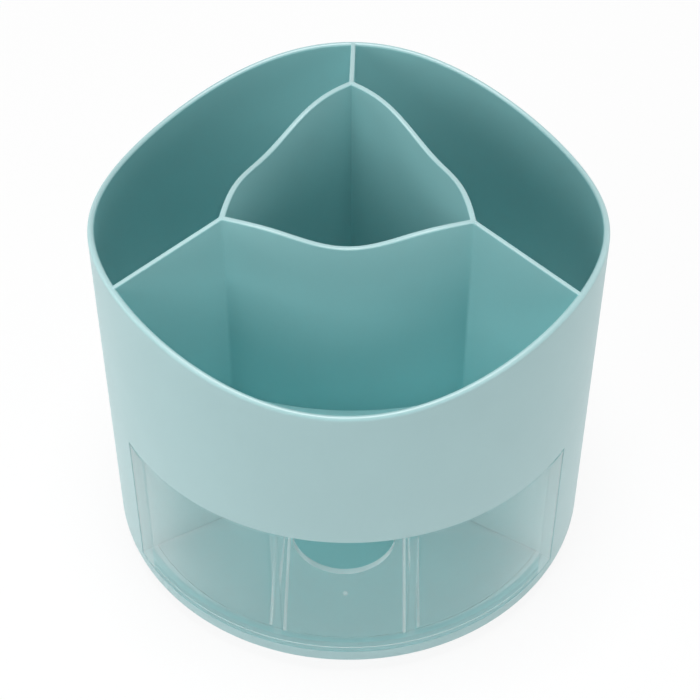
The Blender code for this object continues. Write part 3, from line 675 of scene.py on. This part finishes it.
def drawer_look(face):
    """The look of one face. The notch, the rims, the gate mark and the feet get painted highlights.
    """
    x, y, z = face.center
    tilt = abs(face.normal.z)
    low, high = FOOT_LINE_TILTS
    from_notch = math.hypot(x, WINDOW_TOP_HEIGHT - z)
    if y < 0 and abs(face.normal.y) < FLAT_TILT and from_notch < NOTCH_RADIUS:
        return EDGE_HIGHLIGHT_LOOK
    if z > DRAWER_FLOOR_TOP and math.hypot(x, y - GATE_MARK_Y) < GATE_MARK_RADIUS + WELD:
        return EDGE_HIGHLIGHT_LOOK
    if tilt < FLAT_TILT and math.hypot(x, y) > OUTER_RADIUS - DRAWER_EDGE_ROUND:
        return front_look(x, y, z)
    if z > DRAWER_TOP / 2:
        rim = tilt > FLAT_TILT and math.hypot(x, y) < OUTER_RADIUS - DRAWER_WALL / 2
        return EDGE_HIGHLIGHT_LOOK if rim else PLAIN_LOOK
    by_partition = abs(abs(x) - PARTITION_SPACING / 2) < PARTITION_WALL / 2 + DRAWER_FILLET
    if by_partition and abs(face.normal.x) > abs(face.normal.y) and low < tilt < high:
        return EDGE_HIGHLIGHT_LOOK
    return FILLET_LOOK if FLAT_TILT < tilt < high else PLAIN_LOOK


def notch_mesh():
    """A lying rod that cuts the finger notch into the upper edge of the drawer's front."""
    back = OVERRUN - math.sqrt(DRAWER_INNER_RADIUS ** 2 - NOTCH_RADIUS ** 2)
    notch = rod_mesh("finger_notch", NOTCH_RADIUS, -OUTER_RADIUS - OVERRUN, back, NOTCH_SEGMENTS)
    for vertex in notch.vertices:
        x, y, z = vertex.co
        vertex.co = (x, z, WINDOW_TOP_HEIGHT - y)
    return notch


def gate_mark_mesh():
    mark = rod_mesh("gate_mark", GATE_MARK_RADIUS,
                    DRAWER_FLOOR_TOP - GATE_MARK_HEIGHT, DRAWER_FLOOR_TOP + GATE_MARK_HEIGHT)
    mark.transform(Matrix.Translation((0, GATE_MARK_Y, 0)))
    return mark


def make_drawer(looks):
    """The clear drawer, which neither shades nor tints what is behind it."""
    drawer = add_object("clear_drawer", drawer_outside_mesh())
    inside = (PARTITION_SPACING - PARTITION_WALL) / 2
    outside = (PARTITION_SPACING + PARTITION_WALL) / 2
    boolean(drawer, "DIFFERENCE", [section_mesh("left_section", None, -outside),
                                   section_mesh("middle_section", -inside, inside),
                                   section_mesh("right_section", outside, None), notch_mesh()])
    boolean(drawer, "UNION", [gate_mark_mesh()])
    finish_piece(drawer, looks[PLAIN_LOOK], ["drawer"], "drawer")
    for look in looks[1:]:
        drawer.data.materials.append(look)
    # Each face takes the plain clear look, or painted highlights, painted light or painted shade,
    # by its place
    for face in drawer.data.polygons:
        face.material_index = drawer_look(face)
    drawer.visible_shadow = False
    drawer.visible_diffuse = False


def plug(tree, value, socket):
    """Link a socket to another node's outcome, or set a plain number or colour on it."""
    if isinstance(value, bpy.types.NodeSocket):
        tree.links.new(value, socket)
    elif isinstance(value, tuple):
        socket.default_value = (*value, 1)
    else:
        socket.default_value = value


def calculate(tree, operation, first, second):
    node = tree.nodes.new("ShaderNodeMath")
    node.operation = operation
    plug(tree, first, node.inputs[0])
    plug(tree, second, node.inputs[1])
    return node.outputs["Value"]


def map_range(tree, value, source, target=(0, 1)):
    """Map the source range of a value to the target range, and hold it at its ends."""
    node = tree.nodes.new("ShaderNodeMapRange")
    node.inputs["From Min"].default_value, node.inputs["From Max"].default_value = source
    node.inputs["To Min"].default_value, node.inputs["To Max"].default_value = target
    plug(tree, value, node.inputs["Value"])
    return node.outputs["Result"]


def mix_colours(tree, share, first, second):
    mix = tree.nodes.new("ShaderNodeMix")
    mix.data_type = "RGBA"
    plug(tree, share, mix.inputs["Factor"])
    plug(tree, first, mix.inputs["A"])
    plug(tree, second, mix.inputs["B"])
    return mix.outputs["Result"]


def add_noise(tree, scale, detail):
    place = tree.nodes.new("ShaderNodeTexCoord")
    noise = tree.nodes.new("ShaderNodeTexNoise")
    noise.inputs["Scale"].default_value = scale
    noise.inputs["Detail"].default_value = detail
    plug(tree, place.outputs["Object"], noise.inputs["Vector"])
    return noise.outputs["Fac"]


def add_grain(tree, shader, scale, detail, depth):
    bump = tree.nodes.new("ShaderNodeBump")
    bump.inputs["Strength"].default_value = 1
    bump.inputs["Distance"].default_value = depth
    plug(tree, add_noise(tree, scale, detail), bump.inputs["Height"])
    plug(tree, bump.outputs["Normal"], shader.inputs["Normal"])


def new_material(name, colour, roughness):
    material = bpy.data.materials.new(name)
    material.use_nodes = True
    shader = material.node_tree.nodes["Principled BSDF"]
    plug(material.node_tree, colour, shader.inputs["Base Color"])
    shader.inputs["Roughness"].default_value = roughness
    return material, material.node_tree, shader


def finished_material(name, colour, metal_share, finish):
    """A material whose roughness wanders over a range, and that may have a fine grain."""
    roughness, roughness_range, roughness_noise, grain = finish
    material, tree, shader = new_material(name, colour, roughness)
    shader.inputs["Metallic"].default_value = metal_share
    wander = map_range(tree, add_noise(tree, *roughness_noise), NOISE_RANGE, roughness_range)
    plug(tree, wander, shader.inputs["Roughness"])
    if grain:
        add_grain(tree, shader, *grain)
    return material, tree, shader


def painted_sheen_share(tree):
    """Where the painted sheen goes: 1 on the container's outer surface and its high rims, and 0
    inside.
    """
    place = tree.nodes.new("ShaderNodeTexCoord")
    height = tree.nodes.new("ShaderNodeSeparateXYZ")
    tilt = tree.nodes.new("ShaderNodeSeparateXYZ")
    level = tree.nodes.new("ShaderNodeVectorMath")
    level.operation = "MULTIPLY"
    level.inputs[1].default_value = (1, 1, 0)
    length = tree.nodes.new("ShaderNodeVectorMath")
    length.operation = "LENGTH"
    plug(tree, place.outputs["Object"], height.inputs["Vector"])
    plug(tree, place.outputs["Normal"], tilt.inputs["Vector"])
    plug(tree, place.outputs["Object"], level.inputs[0])
    plug(tree, level.outputs["Vector"], length.inputs[0])
    rims = calculate(tree, "MULTIPLY", map_range(tree, height.outputs["Z"], RIM_HEIGHTS),
                     map_range(tree, tilt.outputs["Z"], RIM_TILTS))
    outer = map_range(tree, length.outputs["Value"], (OUTER_RADIUS - RIM_ROUND, OUTER_RADIUS))
    return calculate(tree, "MAXIMUM", rims, outer)


def make_teal():
    """Moulded blue-green plastic: satin, with a faint grain, slow changes of tone, and a painted
    sheen that greys the outside and the high rims.
    """
    material, tree, shader = finished_material("moulded_teal", TEAL, 0, TEAL_FINISH)
    shader.inputs["IOR"].default_value = TEAL_IOR
    shader.inputs["Specular IOR Level"].default_value = TEAL_GLOSS
    cloud = map_range(tree, add_noise(tree, *TONE_NOISE), NOISE_RANGE)
    inside = mix_colours(tree, cloud, *TEAL_TONES)
    outside = mix_colours(tree, cloud, *OUTSIDE_SHEEN_TONES)
    # Painted sheen: the outside and the high rims take the greyer outside colours
    tone = mix_colours(tree, painted_sheen_share(tree), inside, outside)
    plug(tree, tone, shader.inputs["Base Color"])
    return material


def make_clear(name, colour, face_share, edge_share, mirror_share):
    """Clear moulded plastic: see-through face-on, and less so the more it is seen edge-on."""
    material, tree, shader = finished_material(name, colour, mirror_share, CLEAR_FINISH)
    facing = tree.nodes.new("ShaderNodeLayerWeight")
    steep = calculate(tree, "POWER", facing.outputs["Facing"], FACING_POWER)
    share = map_range(tree, steep, (0, 1), (face_share, edge_share))
    plug(tree, share, shader.inputs["Alpha"])
    return material


def dress_nodes(materials):
    """Give each carried-over node the material of its slot."""
    for entry in frame["record"]["subparts"]:
        if entry["material_slot"] in materials:
            node = frame["nodes"][entry["node"]]
            node.data.materials.clear()
            node.data.materials.append(materials[entry["material_slot"]])


def background_rays(tree):
    """1 for rays that show the background: camera, glossy and transmission rays."""
    path = tree.nodes.new("ShaderNodeLightPath")
    value = path.outputs["Is Camera Ray"]
    for name in ("Is Glossy Ray", "Is Transmission Ray"):
        value = calculate(tree, "MAXIMUM", value, path.outputs[name])
    return value


def make_world():
    """A background that looks white, in gloss and through clear plastic too, and lights nothing."""
    world = bpy.data.worlds.new("studio")
    bpy.context.scene.world = world
    world.use_nodes = True
    tree = world.node_tree
    tree.nodes.clear()
    white = tree.nodes.new("ShaderNodeBackground")
    output = tree.nodes.new("ShaderNodeOutputWorld")
    plug(tree, WHITE, white.inputs["Color"])
    plug(tree, background_rays(tree), white.inputs["Strength"])
    plug(tree, white.outputs["Background"], output.inputs["Surface"])


def make_floor():
    """Pale floor, nearly white to the camera but for the object's shadow."""
    shape = bmesh.new()
    corners = ((-1, -1), (1, -1), (1, 1), (-1, 1))
    shape.faces.new([shape.verts.new((FLOOR_HALF * x, FLOOR_HALF * y, 0)) for x, y in corners])
    floor = add_object("floor", finish_mesh("floor", shape))
    material, tree, shader = new_material("pale_floor", FLOOR_TONE, FLOOR_ROUGHNESS)
    glow = tree.nodes.new("ShaderNodeEmission")
    glow.inputs["Strength"].default_value = 1
    plug(tree, WHITE, glow.inputs["Color"])
    share = calculate(tree, "MULTIPLY", background_rays(tree), FLOOR_WHITE_SHARE)
    mix = tree.nodes.new("ShaderNodeMixShader")
    plug(tree, share, mix.inputs["Fac"])
    plug(tree, shader.outputs["BSDF"], mix.inputs[1])
    plug(tree, glow.outputs["Emission"], mix.inputs[2])
    plug(tree, mix.outputs["Shader"], tree.nodes["Material Output"].inputs["Surface"])
    floor.data.materials.append(material)


def make_softbox(name, azimuth, elevation, distance, width, height, power):
    """A soft lamp that looks at the organizer from this direction."""
    data = bpy.data.lights.new(name, "AREA")
    data.shape = "RECTANGLE"
    data.size = width
    data.size_y = height
    data.energy = power
    light = bpy.data.objects.new(name, data)
    level, rise = on_circle(distance, math.radians(elevation))
    x, y = on_circle(level, math.radians(azimuth))
    light.location = CAMERA_TARGET + Vector((x, y, rise))
    light.rotation_euler = (CAMERA_TARGET - light.location).to_track_quat("-Z", "Y").to_euler()
    bpy.context.scene.collection.objects.link(light)


def make_camera():
    data = bpy.data.cameras.new("camera")
    data.lens = FOCAL_LENGTH_MM
    data.sensor_width = SENSOR_MM
    data.shift_x = CAMERA_SHIFT_X
    data.clip_start = CAMERA_CLIP_START
    camera = bpy.data.objects.new("camera", data)
    direction = Vector((math.sin(CAMERA_AZIMUTH) * math.cos(CAMERA_ELEVATION),
                        -math.cos(CAMERA_AZIMUTH) * math.cos(CAMERA_ELEVATION),
                        math.sin(CAMERA_ELEVATION)))
    camera.location = CAMERA_TARGET + direction * CAMERA_DISTANCE
    camera.rotation_euler = (-direction).to_track_quat("-Z", "Y").to_euler()
    bpy.context.scene.collection.objects.link(camera)
    bpy.context.scene.camera = camera


def make_scene():
    bpy.context.scene.view_settings.view_transform = "Standard"
    materials = {"teal_plastic": make_teal()}
    make_container(materials["teal_plastic"])
    make_drawer([make_clear(*look) for look in CLEAR_LOOKS])
    for slot, *look in HIDDEN_LOOKS:
        materials[slot] = finished_material(*look)[0]
    dress_nodes(materials)
    make_world()
    make_floor()
    for softbox in SOFTBOXES:
        make_softbox(*softbox)
    make_camera()


make_scene()
